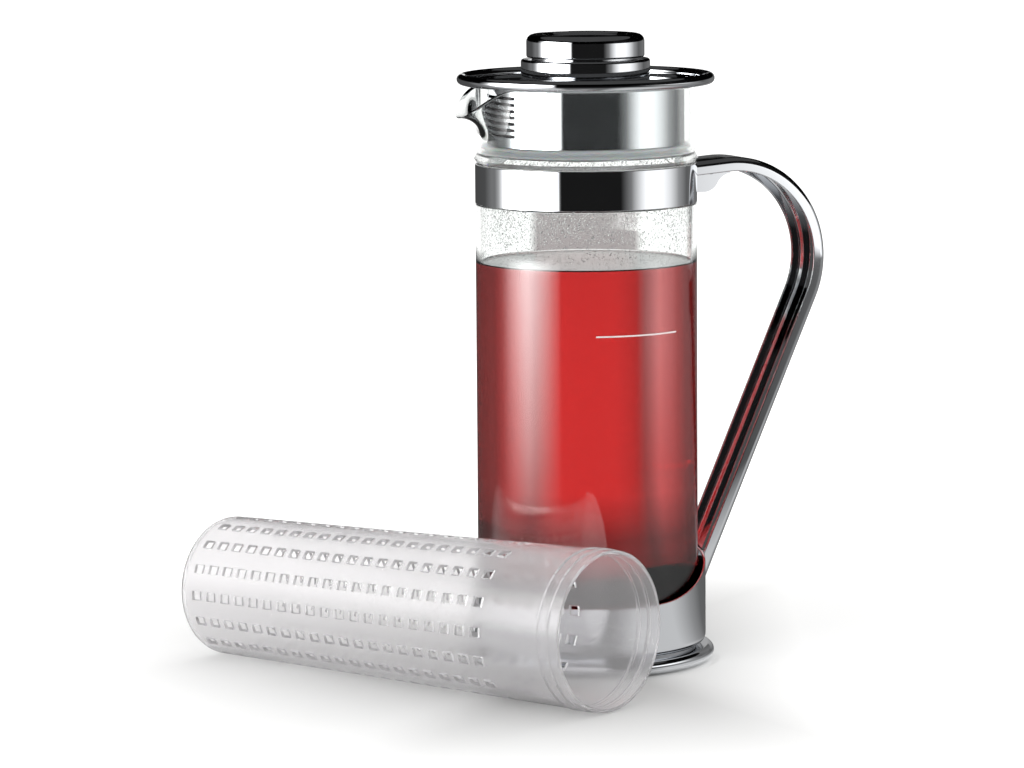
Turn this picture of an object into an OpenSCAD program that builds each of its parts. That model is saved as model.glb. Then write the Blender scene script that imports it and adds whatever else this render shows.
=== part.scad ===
// Iced tea pitcher: a glass beaker clamped in a chromed frame, a turning lid with a slotted
// pouring skirt, and the perforated infuser tube, taken out and lying beside it.
// Millimetres, +Z up. The origin is on the beaker's axis at the underside of the foot.
// The handle points to +X and the pouring spout to -X.

/* [Foot] */
// Height of the foot ring, which is also the diameter of its rounded edge
foot_h = 6; // [4:0.5:9]
// How far the foot ring stands out past the cup
foot_lip = 3.8; // [2:0.2:8]
// Thickness of the rubber disc under the foot
pad_t = 1.6; // [1:0.1:3]
// How far the rubber disc stands below the foot ring
pad_proud = 0.4; // [0.2:0.1:0.9]
// Height of the shadow groove between foot ring and cup
groove_h = 0.9; // [0.5:0.1:3]
// Depth of the shadow groove, from the cup's side
groove_depth = 4.5; // [3:0.5:8]

/* [Base cup] */
// Gap between the glass and the cup's wall
cup_gap = 2.5; // [1:0.1:5]
// Sheet thickness of the cup
cup_wall = 1; // [0.6:0.1:2]
// Outer radius of the cup's bottom corner
cup_round = 4; // [2:0.5:8]
// Height of the level part of the cup's rim above its underside
cup_h = 24; // [18:0.5:34]
// How much higher the rim is at the handle
cup_rise = 17.5; // [8:0.5:24]
// Length along X over which the rim sweeps up to the handle
cup_sweep = 45.5; // [30:0.5:70]

/* [Glass beaker] */
// Outer radius of the glass body
glass_r = 50; // [44:0.5:58]
// Height of the glass from its underside to the rim
glass_h = 251.6; // [235:1:300]
// Wall of the glass body
glass_wall = 2.3; // [1.8:0.1:3]
// Thickness of the glass floor
glass_floor = 3.4; // [2.5:0.1:6]
// Outer radius of the glass's bottom corner
glass_round = 10; // [6:0.5:16]
// How far the waist under the clamp band is drawn in
waist_in = 0.65; // [0.4:0.05:1]
// How far the shoulder above the clamp band bulges out
shoulder_out = 0.5; // [0.2:0.1:1.5]
// How far the neck is drawn in
neck_in = 0.7; // [0.2:0.1:2]
// Wall of the glass neck
neck_wall = 2; // [1.5:0.1:2.6]
// Thickness of the cushion under the glass
cushion_t = 1.2; // [0.6:0.1:4]

/* [Spout] */
// Reach of the spout's tip past the neck
spout_reach = 13.7; // [6:0.1:20]
// How far the tip hangs below the rim
spout_droop = 13; // [4:0.5:16]
// Height over which the neck is pulled out into the spout
spout_h = 24; // [18:0.5:26]
// Half of the angle of the neck that the spout takes up
spout_half = 28; // [20:1:40]

/* [Clamp band] */
// Distance of the band's upper edge below the rim of the glass
band_drop = 35.3; // [32:0.1:60]
// Height of the band
band_h = 17.5; // [14:0.5:24]
// Sheet thickness of the band and its lugs
band_t = 0.6; // [0.4:0.05:0.9]
// Distance of each lug's inner face from the middle plane
lug_y = 5.5; // [4:0.1:6]
// Length of the flat lower edge of each lug
lug_flat = 7.5; // [4:0.5:10]
// Radius of the two arcs that shape each lug's outer edge
lug_round = 7; // [5:0.5:8]
// Radius of the clamp screw's shank
screw_r = 1.25; // [1:0.05:1.5]
// Radius of the clamp screw's head
screw_head_r = 2.1; // [1.8:0.05:2.3]
// Height of the clamp screw's head
screw_head_h = 1.5; // [1:0.1:2]
// Thickness of the clamp nut
nut_h = 2; // [1.4:0.1:2.2]

/* [Handle] */
// Width of the channel
handle_w = 23; // [20:0.5:28]
// Depth of the channel
handle_d = 6.3; // [5.5:0.1:8]
// Sheet thickness of the channel
handle_t = 1.5; // [1:0.1:2]
// Radius of the channel's outer corners
handle_round = 3; // [2:0.1:4]
// Reach of the handle past the glass
handle_reach = 66; // [54:0.5:80]
// Outer radius of the handle's bend
handle_bend = 46.8; // [36:0.5:52]
// Angle at which the handle rises from the band
handle_rise = 4; // [0:0.5:10]
// Height above the cup's underside at which the handle's back meets the cup
handle_foot = 23.5; // [14:0.5:28]

/* [Lid] */
// How far the lid's rim stands out past the glass
lid_lip = 8; // [5:0.5:14]
// Sheet thickness of the lid's dish
lid_t = 0.8; // [0.5:0.1:1.5]
// Radius of the rolled bead round the lid
bead_r = 2.4; // [1.5:0.1:4]
// Height of the pouring skirt
skirt_h = 26.5; // [24:0.5:34]
// Sheet thickness of the skirt
skirt_t = 0.8; // [0.5:0.1:1.2]
// Number of pouring slots
slot_count = 7; // [3:1:7]
// Height of each pouring slot
slot_h = 1.4; // [0.8:0.1:1.8]
// Spacing of the pouring slots
slot_pitch = 2.8; // [2.4:0.1:3.2]
// Half of the angle that the slots take up
slot_half = 20; // [10:1:40]
// Height of the sealing gasket
gasket_h = 4.2; // [3:0.1:7]
// Width of the gasket's lips, past the skirt
gasket_lip = 2.6; // [1.6:0.1:4]
// Height of the infuser socket above the skirt's lower edge
socket_grip = 4.5; // [3:0.1:5]
// Wall of the infuser socket
socket_wall = 1.8; // [1.2:0.1:2.4]
// Thickness of the socket's flange under the gasket
socket_flange = 1.3; // [0.8:0.1:3]

/* [Knob] */
// Outer radius of the collar under the knob
collar_r = 29.1; // [26:0.1:34]
// Height of the collar
collar_h = 10.5; // [8:0.1:18]
// Wall of the collar
collar_wall = 1.2; // [0.8:0.1:2]
// Size of the flare round the collar's foot
collar_flare = 1.5; // [0.5:0.1:3]
// Outer radius of the knob
knob_r = 26.6; // [22:0.1:28]
// Height of the knob
knob_h = 11.1; // [7:0.1:14]
// Height of the shadow line under the knob
knob_gap = 0.7; // [0.4:0.1:1.5]
// Radius of the knob's upper edge
knob_round = 3.4; // [1:0.1:3.5]
// Wall of the knob
knob_wall = 2.2; // [1.8:0.1:3]
// Radius of the finger recess in the knob's top
recess_r = 17.8; // [12:0.1:19]
// Depth of the finger recess
recess_depth = 0.9; // [0.4:0.1:1.4]
// Radius of the knob screw's shank
knob_screw_r = 2.4; // [1.8:0.1:3]
// Radius of the knob screw's head
knob_screw_head_r = 4.6; // [4:0.1:6]
// Height of the knob screw's head
knob_screw_head_h = 2.8; // [2:0.1:4]
// Thickness of the sealing washer under the dish
washer_t = 1.5; // [0.8:0.1:2.5]

/* [Infuser] */
// Length of the infuser tube
infuser_h = 229; // [190:1:232]
// Room between the socket's outside and the infuser's mouth
mouth_room = 8.55; // [6.5:0.05:12]
// How much narrower the closed end is than the mouth
infuser_taper = 3.5; // [1:0.1:6]
// Wall of the tube
infuser_wall = 1.6; // [1.2:0.1:2.4]
// Outer radius of the closed end's corner
end_round = 6; // [3:0.5:10]
// Height of the thread ridges round the mouth
ridge_h = 0.5; // [0.3:0.1:0.9]
// Width of a thread ridge
ridge_w = 1.2; // [0.8:0.1:2]
// Distance of the first ridge from the mouth
ridge_pos = 5.5; // [3:0.5:8]
// Spacing of the two ridges
ridge_pitch = 5.7; // [2.5:0.1:7]
// Width of a hole, round the tube
hole_w = 4.4; // [3:0.1:5.5]
// Length of a hole, along the tube
hole_l = 5; // [3:0.1:6]
// Spacing of the holes along the tube
hole_pitch = 8.9; // [7:0.1:12]
// Number of rows of holes round the tube
hole_rows = 16; // [8:1:18]
// Plain length at the closed end, before the holes
hole_start = 12.7; // [10:0.1:30]
// Plain length at the mouth, after the holes
hole_stop = 46; // [20:0.5:60]
// Gap between the foot ring and the tube that lies beside it
lie_gap = 2.5; // [2:0.1:30]
// How far the tube's mouth lies past the jug's axis, along the tube
lie_along = 90.5; // [40:0.1:110]
// Direction in which the tube's mouth points as it lies
lie_turn = -64.7; // [-68:0.1:-58]

/* [Clearances] */
// Gap between parts that move on each other
run_gap = 0.3; // [0.2:0.05:0.6]
// Gap between parts that are fixed to each other round a curve
fit_gap = 0.05; // [0.02:0.01:0.1]
// Gap between the glass and the clamp band
clamp_gap = 0.1; // [0.05:0.05:0.2]
// Gap between the glass rim and the lid that rests over it
lid_gap = 0.4; // [0.3:0.1:1]
// Gap between the infuser's thread ridges and the socket
thread_gap = 0.3; // [0.2:0.05:0.8]

/* [Hidden] */
$fn = 96;
EPS = 0.01;

// Colours
CHROME = "#c9ccd0";
STEEL = "#9b9da0";
GLASS = "#d8ecec";
SILICONE = "#b9bfc2";
FROSTED = "#e3e6ea";
RUBBER = "#2a2a2c";

// Radii, from the glass outwards
cup_in = glass_r + cup_gap;
cup_r = cup_in + cup_wall;
foot_r = cup_r + foot_lip;
groove_r = cup_r - groove_depth;
foot_bore = groove_r - foot_h * 2;
pad_r = foot_r - foot_h;

// Heights of the base, from the table upwards
foot_top = pad_proud + foot_h;
cup_z = foot_top + groove_h;
cup_floor = cup_z + cup_wall;
glass_z = cup_floor + cushion_t;
rim_z = glass_z + glass_h;
cup_rim = cup_z + cup_h;
sweep_r = (cup_sweep * cup_sweep + cup_rise * cup_rise) / (2 * cup_rise);

// Glass profile
body_in = glass_r - glass_wall;
waist_r = glass_r - waist_in;
shoulder_r = glass_r + shoulder_out;
neck_r = glass_r - neck_in;
neck_bore = neck_r - neck_wall;
band_top = rim_z - band_drop;
band_z = band_top - band_h;
waist_taper = 1.5;
shoulder_z = band_top + 2.5;
neck_z = band_top + 5;
inner_round = glass_round - glass_wall;
lip_soft = neck_wall * 0.45;

// Spout patch, let into the neck's wall at its borders
spout_root = rim_z - spout_h;
patch_steps = 20;
patch_rows = 8;
patch_inset = 0.03;
patch_border = 1.5;

// Clamp band and its lugs
band_in = waist_r + clamp_gap;
band_r = band_in + band_t;
lug_z = band_z + 2.3;
lug_out = lug_y + band_t;
lug_x = sqrt(band_r * band_r - lug_out * lug_out) - band_t / 2;
lug_turn = 65;

// Handle path in the XZ plane: a short rise, one bend, then straight down to the cup
handle_x = glass_r + handle_reach - handle_bend;
handle_top = band_top + 0.4;
handle_z = handle_top - handle_bend;
foot_point_z = cup_z + handle_foot;
foot_dx = handle_x - cup_r;
foot_dz = handle_z - foot_point_z;
foot_dist = sqrt(foot_dx * foot_dx + foot_dz * foot_dz);
leg_angle = atan2(foot_dz, foot_dx) - asin(handle_bend / foot_dist);
leg_length = sqrt(foot_dist * foot_dist - handle_bend * handle_bend);
bend_start = 90 + handle_rise;
bend_end = leg_angle - 90;
rise_length = handle_x;
leg_extra = 3 * handle_d;
run_overlap = 1.2;
run_let_in = 0.03;

// Clamp screw, between the lugs and inside the channel
web_z = handle_top - handle_t - handle_bend * (1 - cos(handle_rise));
web_x = handle_x - handle_bend * sin(handle_rise);
screw_x = lug_x + lug_flat + lug_round / 3;
lug_top = web_at(lug_x) - 0.3;
nut_r = screw_head_r + 0.3;
screw_z = lug_top - nut_r;

// Lid
lid_z = rim_z + lid_gap;
lid_r = glass_r + lid_lip;
dish_top = lid_z + lid_t;
gasket_r = neck_bore - run_gap;
skirt_r = gasket_r - gasket_lip;
skirt_in = skirt_r - skirt_t;
skirt_z = lid_z - skirt_h;
slots_z = lid_z - 4 - slot_h - (slot_count - 1) * slot_pitch;
gasket_top = skirt_z - run_gap;
gasket_z = gasket_top - gasket_h;
gasket_in = skirt_in - fit_gap + run_gap;
socket_r = skirt_in - fit_gap;
socket_top = skirt_z + socket_grip;
flange_top = gasket_z - run_gap;
flange_z = flange_top - socket_flange;
flange_r = skirt_r + 0.2;
mouth_r = socket_r - mouth_room;
socket_bore = mouth_r + ridge_h + thread_gap;

// Knob
collar_z = dish_top;
collar_top = collar_z + collar_h;
knob_z = collar_top + knob_gap;
knob_top = knob_z + knob_h - knob_gap;
knob_foot_r = knob_r - 2.4;
boss_r = knob_screw_r + 3.5;
boss_hole = knob_screw_r + fit_gap;
washer_r = knob_screw_head_r + 2.4;
washer_z = lid_z - washer_t;
screw_end = knob_top - recess_depth - knob_wall - 0.6;

// Infuser as it stands, closed end down
end_r = mouth_r - infuser_taper;
ridge_z = infuser_h - ridge_pos;
cone_rise = (mouth_r - end_r) / infuser_h;
hole_count = floor((infuser_h - hole_start - hole_stop) / hole_pitch) + 1;
// Infuser as it lies, on its lower ridge and the edge of its closed end
rest_high = wall_at(ridge_z) + ridge_h;
rest_low = wall_at(end_round);
lie_tilt = atan((rest_high - rest_low) / (ridge_z - end_round));
lie_lift = rest_low * cos(lie_tilt) - end_round * sin(lie_tilt);
lie_side = foot_r + mouth_r + lie_gap;

// Height of the underside of the handle's rise, at a place along X
function web_at(x) = web_z - (web_x - x) * tan(handle_rise);

// Outer radius of the infuser's wall at a height
function wall_at(z) = end_r + cone_rise * z;

// Points along an arc about c
function arc(c, r, a0, a1, n = 8) =
    [for (i = [0:n]) let (a = a0 + (a1 - a0) * i / n) c + r * [cos(a), sin(a)]];

// How far a point of the neck is pulled out, from 0 at the spout's sides to 1 in its middle
function pull(a) = abs(a) >= spout_half ? 0 : pow(cos(90 * a / spout_half), 2);

// Height of the lip at an angle from the spout's middle
function lip_z(a) = rim_z - spout_droop * pull(a);

// Radius and height of the pulled wall's outside, at an angle and a share s of its height
function pulled(a, s) =
    let (p = pull(a), up = (1 - p) * s + p * sin(90 * s))
    [neck_r - patch_inset + p * spout_reach * pow(max(s, 0), 1.7),
     spout_root + (s < 0 ? -patch_border : up * (lip_z(a) - spout_root))];

// A thin solid over a grid of outer points and the inner points behind them
module skin(outer, inner, cols, rows) {
    count = cols * rows;
    at = function (i, j, side) side * count + j * cols + i;
    faces_out = [for (j = [0:rows - 2], i = [0:cols - 2], k = [0, 1])
        k == 0 ? [at(i, j, 0), at(i + 1, j + 1, 0), at(i + 1, j, 0)]
               : [at(i, j, 0), at(i, j + 1, 0), at(i + 1, j + 1, 0)]];
    faces_in = [for (j = [0:rows - 2], i = [0:cols - 2], k = [0, 1])
        k == 0 ? [at(i, j, 1), at(i + 1, j, 1), at(i + 1, j + 1, 1)]
               : [at(i, j, 1), at(i + 1, j + 1, 1), at(i, j + 1, 1)]];
    edge_low = [for (i = [0:cols - 2], k = [0, 1])
        k == 0 ? [at(i, 0, 0), at(i + 1, 0, 0), at(i + 1, 0, 1)]
               : [at(i, 0, 0), at(i + 1, 0, 1), at(i, 0, 1)]];
    edge_high = [for (i = [0:cols - 2], k = [0, 1])
        k == 0 ? [at(i, rows - 1, 0), at(i + 1, rows - 1, 1), at(i + 1, rows - 1, 0)]
               : [at(i, rows - 1, 0), at(i, rows - 1, 1), at(i + 1, rows - 1, 1)]];
    edge_left = [for (j = [0:rows - 2], k = [0, 1])
        k == 0 ? [at(0, j, 0), at(0, j, 1), at(0, j + 1, 1)]
               : [at(0, j, 0), at(0, j + 1, 1), at(0, j + 1, 0)]];
    edge_right = [for (j = [0:rows - 2], k = [0, 1])
        k == 0 ? [at(cols - 1, j, 0), at(cols - 1, j + 1, 1), at(cols - 1, j, 1)]
               : [at(cols - 1, j, 0), at(cols - 1, j + 1, 0), at(cols - 1, j + 1, 1)]];
    polyhedron(points = concat(outer, inner),
               faces = concat(faces_out, faces_in, edge_low, edge_high, edge_left, edge_right));
}

// A shape turned about the axis
module turned(points) {
    rotate_extrude() polygon(points);
}

// A ring of rectangular section
module ring(r_in, r_out, z0, z1) {
    rotate_extrude() translate([r_in, z0]) square([r_out - r_in, z1 - z0]);
}

module foot_pad() {
    color(RUBBER) cylinder(r = pad_r, h = pad_t);
}

// Ring with a fully rounded edge, a seat for the pad below and a step for the cup above
module foot_ring() {
    edge = [foot_r - foot_h / 2, pad_proud + foot_h / 2];
    color(CHROME) turned(concat(
        [[foot_bore, pad_t], [pad_r + fit_gap, pad_t], [pad_r + fit_gap, pad_proud]],
        arc(edge, foot_h / 2, -90, 90, 12),
        [[groove_r, foot_top], [groove_r, cup_z], [foot_bore, cup_z]]));
}

// Drawn cup whose rim is level at the spout side and sweeps up towards the handle
module base_cup() {
    cup_top = cup_rim + cup_rise + 2;
    round_in = cup_round - cup_wall;
    cut = 3 * cup_r;
    color(CHROME) difference() {
        turned(concat(
            [[0, cup_z]],
            arc([cup_r - cup_round, cup_z + cup_round], cup_round, -90, 0),
            [[cup_r, cup_top], [cup_in, cup_top]],
            arc([cup_in - round_in, cup_floor + round_in], round_in, 0, -90),
            [[0, cup_floor]]));
        rotate([90, 0, 0]) linear_extrude(height = cut, center = true) {
            translate([cup_r - cup_sweep - cut, cup_rim]) square([cut, cut]);
            translate([cup_r - cup_sweep, cup_rim + sweep_r]) circle(r = sweep_r);
        }
    }
}

module glass_cushion() {
    color(SILICONE) translate([0, 0, cup_floor]) cylinder(r = glass_r - glass_round, h = cushion_t);
}

// Outside of the glass from the floor to the neck, then its inside back down
module glass_body() {
    turned(concat(
        [[0, glass_z]],
        arc([glass_r - glass_round, glass_z + glass_round], glass_round, -90, 0),
        [[glass_r, band_z - waist_taper - 1], [waist_r, band_z - 1], [waist_r, band_top + 0.5]],
        [[shoulder_r, shoulder_z], [neck_r, neck_z]],
        arc([neck_r - lip_soft, rim_z - lip_soft], lip_soft, 0, 90, 4),
        arc([neck_bore + lip_soft, rim_z - lip_soft], lip_soft, 90, 180, 4),
        [[neck_bore, neck_z], [body_in, neck_z - 1]],
        arc([body_in - inner_round, glass_z + glass_floor + inner_round], inner_round, 0, -90),
        [[0, glass_z + glass_floor]]));
}

// The pulled wall: a patch that swells out of the neck and droops at its tip
module spout_patch() {
    reach = spout_half + patch_border;
    cols = 2 * patch_steps + 1;
    rows = patch_rows + 2;
    thick = neck_wall - 2 * patch_inset;
    grid = [for (j = [-1:patch_rows], i = [-patch_steps:patch_steps])
        let (a = reach * i / patch_steps, p = pulled(a, j / patch_rows)) [a, p[0], p[1]]];
    outer = [for (g = grid) [g[1] * cos(g[0]), g[1] * sin(g[0]), g[2]]];
    inner = [for (g = grid) [(g[1] - thick) * cos(g[0]), (g[1] - thick) * sin(g[0]), g[2]]];
    rotate([0, 0, 180]) skin(outer, inner, cols, rows);
}

module glass_beaker() {
    color(GLASS, 0.4) union() {
        difference() {
            glass_body();
            rotate([0, 0, 180 - spout_half]) rotate_extrude(angle = 2 * spout_half)
                translate([neck_bore - 1, spout_root]) square([neck_wall + 2, spout_h + 1]);
        }
        spout_patch();
    }
}

// Lug outline in the XZ plane: flat below, then an S-curve out to the channel
module lug_outline() {
    knee = [lug_x + lug_flat, lug_z + lug_round];
    turn = lug_turn - 90;
    hollow = knee + 2 * lug_round * [cos(turn), sin(turn)];
    polygon(concat(
        [[lug_x, lug_z]],
        arc(knee, lug_round, -90, turn),
        arc(hollow, lug_round, 180 + turn, 90),
        [[hollow[0], lug_top], [lug_x, lug_top]]));
}

// Split band whose ends fold out into two lugs
module clamp_band() {
    color(CHROME) difference() {
        union() {
            difference() {
                ring(band_in, band_r, band_z, band_top);
                translate([0, -lug_y, band_z - 1]) cube([2 * band_r, 2 * lug_y, band_h + 2]);
            }
            for (side = [-1, 1])
                translate([0, side * (lug_y + band_t / 2), 0]) rotate([90, 0, 0])
                    linear_extrude(height = band_t, center = true) lug_outline();
        }
        translate([screw_x, 0, screw_z]) rotate([90, 0, 0])
            cylinder(r = screw_r + fit_gap, h = 2 * lug_out + 2, center = true);
    }
}

// Screw through both lugs, its head towards -Y
module clamp_screw() {
    color(STEEL) translate([screw_x, 0, screw_z]) {
        translate([0, -lug_out, 0]) rotate([90, 0, 0]) difference() {
            cylinder(r = screw_head_r, h = screw_head_h);
            translate([0, 0, screw_head_h / 2]) cylinder(r = screw_head_r * 0.5, h = screw_head_h, $fn = 6);
        }
        translate([0, -lug_out - EPS, 0]) rotate([-90, 0, 0]) cylinder(r = screw_r, h = 2 * lug_out + nut_h);
    }
}

module clamp_nut() {
    color(STEEL) translate([screw_x, lug_out, screw_z]) rotate([-90, 0, 0]) difference() {
        cylinder(r = nut_r, h = nut_h, $fn = 6);
        translate([0, 0, -1]) cylinder(r = screw_r + fit_gap, h = nut_h + 2);
    }
}

// Outline with two rounded corners on its +X side, that side at x
module round_back(x, w, depth, round) {
    translate([x - depth, -w / 2]) square([depth - round, w]);
    translate([x - depth, round - w / 2]) square([depth, w - 2 * round]);
    for (side = [-1, 1]) translate([x - round, side * (w / 2 - round)]) circle(r = round);
}

// Channel section, its back at the bend's outer radius and open towards the jug.
// A let section is finer all round, so that a straight run can enter the bend's end.
module channel(let_in = 0) {
    wide = handle_w - 2 * let_in;
    wall = handle_t - 2 * let_in;
    back = handle_bend - let_in;
    difference() {
        round_back(back, wide, handle_d - 2 * let_in, handle_round - let_in);
        round_back(back - wall, wide - 2 * wall, handle_d, handle_round - let_in - wall);
    }
}

// Straight run of the channel that starts a little inside the bend
module channel_run(length) {
    translate([0, 0, -run_overlap]) linear_extrude(height = length + run_overlap) channel(run_let_in);
}

// Bent channel, coped to the band above and to the cup below
module handle() {
    color(CHROME) difference() {
        translate([handle_x, 0, handle_z]) rotate([90, 0, 0]) {
            rotate([0, 0, bend_end]) rotate_extrude(angle = bend_start - bend_end) channel();
            rotate([0, 0, bend_start]) rotate([-90, 0, 0]) channel_run(rise_length);
            rotate([0, 0, bend_end]) rotate([90, 0, 0]) channel_run(leg_length + leg_extra);
        }
        cylinder(r = cup_r + fit_gap, h = band_z);
        translate([0, 0, band_z]) cylinder(r = band_r + fit_gap, h = 2 * band_h);
        translate([-rise_length, -handle_w, band_z]) cube([rise_length, 2 * handle_w, 2 * band_h]);
    }
}

// Ring with two lips that wipe the glass, held between the skirt and the socket's flange
module lid_gasket() {
    third = gasket_h / 3;
    body_r = (gasket_in + gasket_r) / 2;
    color(SILICONE) turned([
        [gasket_in, gasket_z], [gasket_r - 0.5, gasket_z], [gasket_r, gasket_z + third / 2],
        [gasket_r - 0.5, gasket_z + third], [body_r, gasket_z + third],
        [body_r, gasket_z + 2 * third], [gasket_r - 0.5, gasket_z + 2 * third],
        [gasket_r, gasket_top - third / 2], [gasket_r - 0.5, gasket_top], [gasket_in, gasket_top]]);
}

// Flat dish with a rolled bead round its edge
module lid_cover() {
    color(CHROME) rotate_extrude() {
        translate([boss_hole, lid_z]) square([lid_r - bead_r - boss_hole, lid_t]);
        translate([lid_r - bead_r, lid_z + bead_r]) circle(r = bead_r);
    }
}

// Tube with a stack of pouring slots towards the spout
module lid_skirt() {
    color(CHROME) difference() {
        ring(skirt_in, skirt_r, skirt_z, lid_z);
        for (i = [0:slot_count - 1])
            rotate([0, 0, 180 - slot_half]) rotate_extrude(angle = 2 * slot_half)
                translate([skirt_in - 1, slots_z + i * slot_pitch]) square([skirt_t + 2, slot_h]);
    }
}

// Moulded ring fixed in the skirt: a bore for the infuser's mouth and a flange under the gasket
module infuser_socket() {
    color(FROSTED) turned([
        [socket_bore, flange_z], [flange_r, flange_z], [flange_r, flange_top], [socket_r, flange_top],
        [socket_r, socket_top], [socket_r - socket_wall, socket_top],
        [socket_r - socket_wall, flange_top + socket_wall],
        [socket_bore + socket_wall, flange_top + socket_wall],
        [socket_bore + socket_wall, socket_top], [socket_bore, socket_top]]);
}

// Cap that stands on the dish, flared at its foot
module knob_collar() {
    soft = collar_wall;
    color(CHROME) turned(concat(
        [[collar_r - collar_wall, collar_z], [collar_r + collar_flare, collar_z]],
        arc([collar_r + collar_flare, collar_z + collar_flare], collar_flare, -90, -180, 6),
        arc([collar_r - soft, collar_top - soft], soft, 0, 90, 6),
        [[boss_hole, collar_top], [boss_hole, collar_top - collar_wall],
         [collar_r - collar_wall, collar_top - collar_wall]]));
}

// Knob with a finger recess on top, hollow below round its screw boss
module lid_knob() {
    under = 1;
    ceiling = knob_top - recess_depth - knob_wall;
    color(CHROME) difference() {
        turned(concat(
            [[0, collar_top], [knob_foot_r, collar_top], [knob_foot_r, knob_z]],
            arc([knob_r - under, knob_z + under], under, -90, 0, 6),
            arc([knob_r - knob_round, knob_top - knob_round], knob_round, 0, 90, 8),
            [[recess_r + recess_depth, knob_top], [recess_r, knob_top - recess_depth]],
            [[0, knob_top - recess_depth]]));
        ring(boss_r, knob_foot_r - knob_wall, collar_top - EPS, ceiling);
        translate([0, 0, collar_top - EPS]) cylinder(r = boss_hole, h = screw_end + fit_gap - collar_top);
    }
}

// Screw from under the dish up into the knob's boss
module knob_screw() {
    head_z = washer_z - knob_screw_head_h;
    color(STEEL) difference() {
        union() {
            translate([0, 0, head_z]) cylinder(r = knob_screw_head_r, h = knob_screw_head_h);
            translate([0, 0, head_z]) cylinder(r = knob_screw_r, h = screw_end - head_z);
        }
        translate([0, 0, head_z - EPS])
            cylinder(r = knob_screw_head_r * 0.5, h = knob_screw_head_h / 2, $fn = 6);
    }
}

module knob_washer() {
    color(SILICONE) ring(boss_hole, washer_r, washer_z, lid_z);
}

// Wall, closed end and thread ridges of the infuser, standing on its closed end
module infuser_wall_shape() {
    in_round = end_round - infuser_wall;
    in_low = wall_at(end_round) - infuser_wall;
    turned(concat(
        [[0, 0]],
        arc([wall_at(end_round) - end_round, end_round], end_round, -90, 0, 6),
        [for (i = [1, 0]) each let (z = ridge_z - i * ridge_pitch, r = wall_at(z))
            [[r, z - ridge_w], [r + ridge_h, z - ridge_w / 2], [r + ridge_h, z], [r, z + ridge_w / 2]]],
        [[mouth_r, infuser_h], [mouth_r - infuser_wall, infuser_h]],
        arc([in_low - in_round, infuser_wall + in_round], in_round, 0, -90, 6),
        [[0, infuser_wall]]));
}

// Lays the infuser on the table with its mouth at its place
module laid_down() {
    rotate([0, 0, lie_turn]) translate([lie_along - infuser_h * cos(lie_tilt), -lie_side, lie_lift])
        rotate([0, 90 - lie_tilt, 0]) children();
}

// Perforated tube: rows of holes between the closed end and the plain mouth
module infuser_tube() {
    depth = 4 * infuser_wall;
    color(FROSTED, 0.8) laid_down() difference() {
        infuser_wall_shape();
        for (row = [0:hole_rows - 1], k = [0:hole_count - 1])
            let (z = hole_start + k * hole_pitch)
                rotate([0, 0, 360 * row / hole_rows])
                    translate([wall_at(z) - infuser_wall / 2, 0, z])
                        cube([depth, hole_w, hole_l], center = true);
    }
}

foot_pad();
foot_ring();
base_cup();
glass_cushion();
glass_beaker();
clamp_band();
clamp_screw();
clamp_nut();
handle();
lid_gasket();
lid_cover();
lid_skirt();
infuser_socket();
knob_collar();
lid_knob();
knob_screw();
knob_washer();
infuser_tube();
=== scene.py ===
# %% [markdown]
# # An iced tea pitcher in glass and chrome
# The pitcher is a glass beaker held in a chromed frame: a cup with a foot ring below, a split band
# near the top, and a channel handle between them. Its lid plugs the neck, and its perforated infuser
# tube lies beside it. Almost everything is turned, so most pieces here are a small outline spun about
# the axis. Blender works in metres, and this lesson writes the sizes of pieces in millimetres.

# %% Load the model that every piece is fitted to
import math
import random
from types import SimpleNamespace

import bmesh
import bpy
from mathutils import Matrix, Vector


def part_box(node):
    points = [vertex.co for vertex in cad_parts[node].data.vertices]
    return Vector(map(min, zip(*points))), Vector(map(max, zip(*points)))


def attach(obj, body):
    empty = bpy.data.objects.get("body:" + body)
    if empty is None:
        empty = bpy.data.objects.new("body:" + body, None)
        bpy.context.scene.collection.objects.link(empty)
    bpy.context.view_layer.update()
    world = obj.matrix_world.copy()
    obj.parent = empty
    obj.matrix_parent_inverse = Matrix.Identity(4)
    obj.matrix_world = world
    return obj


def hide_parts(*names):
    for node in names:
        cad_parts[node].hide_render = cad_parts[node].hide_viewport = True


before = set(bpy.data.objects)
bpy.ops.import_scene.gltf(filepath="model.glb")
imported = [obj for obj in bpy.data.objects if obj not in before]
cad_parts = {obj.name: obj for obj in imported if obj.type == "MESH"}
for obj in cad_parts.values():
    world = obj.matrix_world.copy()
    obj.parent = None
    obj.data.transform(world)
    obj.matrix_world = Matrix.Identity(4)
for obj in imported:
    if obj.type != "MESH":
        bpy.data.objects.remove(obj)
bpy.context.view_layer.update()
MM = 0.001

# %% [markdown]
# ## The camera
# The photograph was taken from about two metres with a long lens, a little above the lid. A long
# lens keeps the sides of the glass nearly parallel, so the distance matters more than the field of
# view. The camera is built from a turn about the axis, a pitch and a slight roll.

# %% Camera
VIEW_TURN = math.radians(24)
VIEW_PITCH = math.radians(7.5)
VIEW_ROLL = math.radians(-0.42)
VIEW_DISTANCE = 2116 * MM
VIEW_HEIGHT = 404.1 * MM
VIEW_LEFT = 34 * MM
LENS = 165.6
SENSOR_W = 36
VIEW_END = 100

ahead = Vector((math.sin(VIEW_TURN), math.cos(VIEW_TURN), 0))
right = Vector((math.cos(VIEW_TURN), -math.sin(VIEW_TURN), 0))
aim = ahead * math.cos(VIEW_PITCH) - Vector((0, 0, 1)) * math.sin(VIEW_PITCH)
up = right.cross(aim)
rolled_right = right * math.cos(VIEW_ROLL) + up * math.sin(VIEW_ROLL)
rolled_up = up * math.cos(VIEW_ROLL) - right * math.sin(VIEW_ROLL)

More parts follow.
